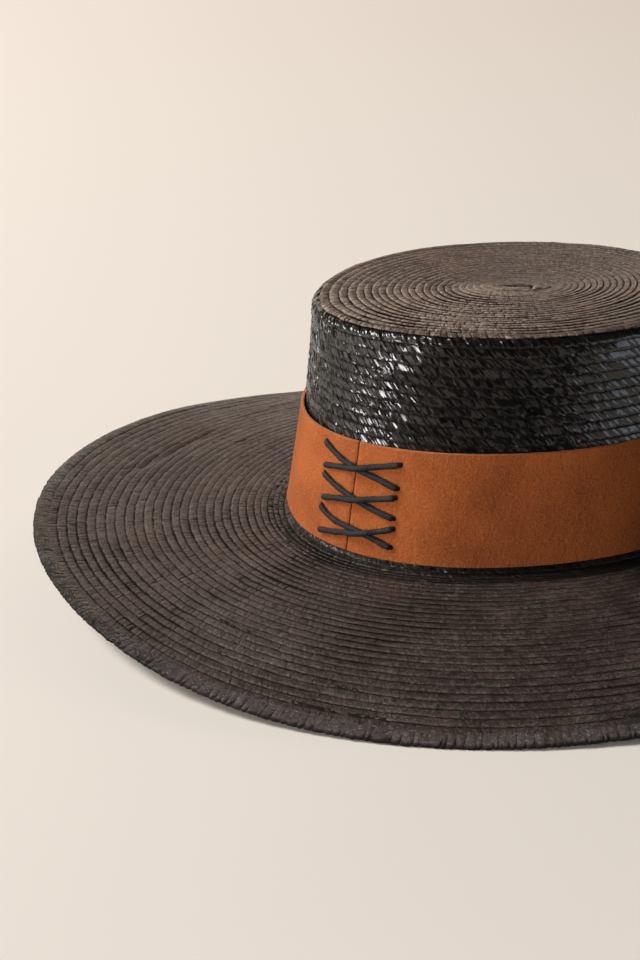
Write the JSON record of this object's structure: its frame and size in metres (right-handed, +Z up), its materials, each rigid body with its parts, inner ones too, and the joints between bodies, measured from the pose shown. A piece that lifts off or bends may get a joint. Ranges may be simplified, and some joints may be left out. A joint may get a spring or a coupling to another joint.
{
  "type": "boater hat",
  "caption": "Wide-brimmed boater hat of dark sewn straw braid: flat-topped oval crown, softly drooping brim with a rolled edge, and a tan leather band laced with cord.",
  "frame": {"origin": "middle of the hat's bounding box, on the surface that the lowest points of the brim stand on", "axes": "+Z up, X along the long axis of the head oval with the wearer's front at -X, the lacing of the band on the wearer's left at -Y"},
  "size_m": [0.4474, 0.4136, 0.121],
  "materials": {
    "straw_crown": "black-brown lacquered palm straw braid, glossy on the side",
    "straw_brim": "dark brown palm straw braid, satin and dry, with fine cracks",
    "straw_edge": "black-brown lacquered straw braid rolled over the edge, semi-gloss",
    "leather_band": "tan suede-like leather, matte, fine nap",
    "lace_cord": "black waxed cord, satin"
  },
  "bodies": {
    "root": {"crown": "straw_crown", "brim": "straw_brim", "brim_edge_braid": "straw_edge", "band": "leather_band", "lace_upper_under": "lace_cord", "lace_upper_over": "lace_cord", "lace_middle_under": "lace_cord", "lace_middle_over": "lace_cord", "lace_lower_under": "lace_cord", "lace_lower_over": "lace_cord"}
  },
  "joints": []
}
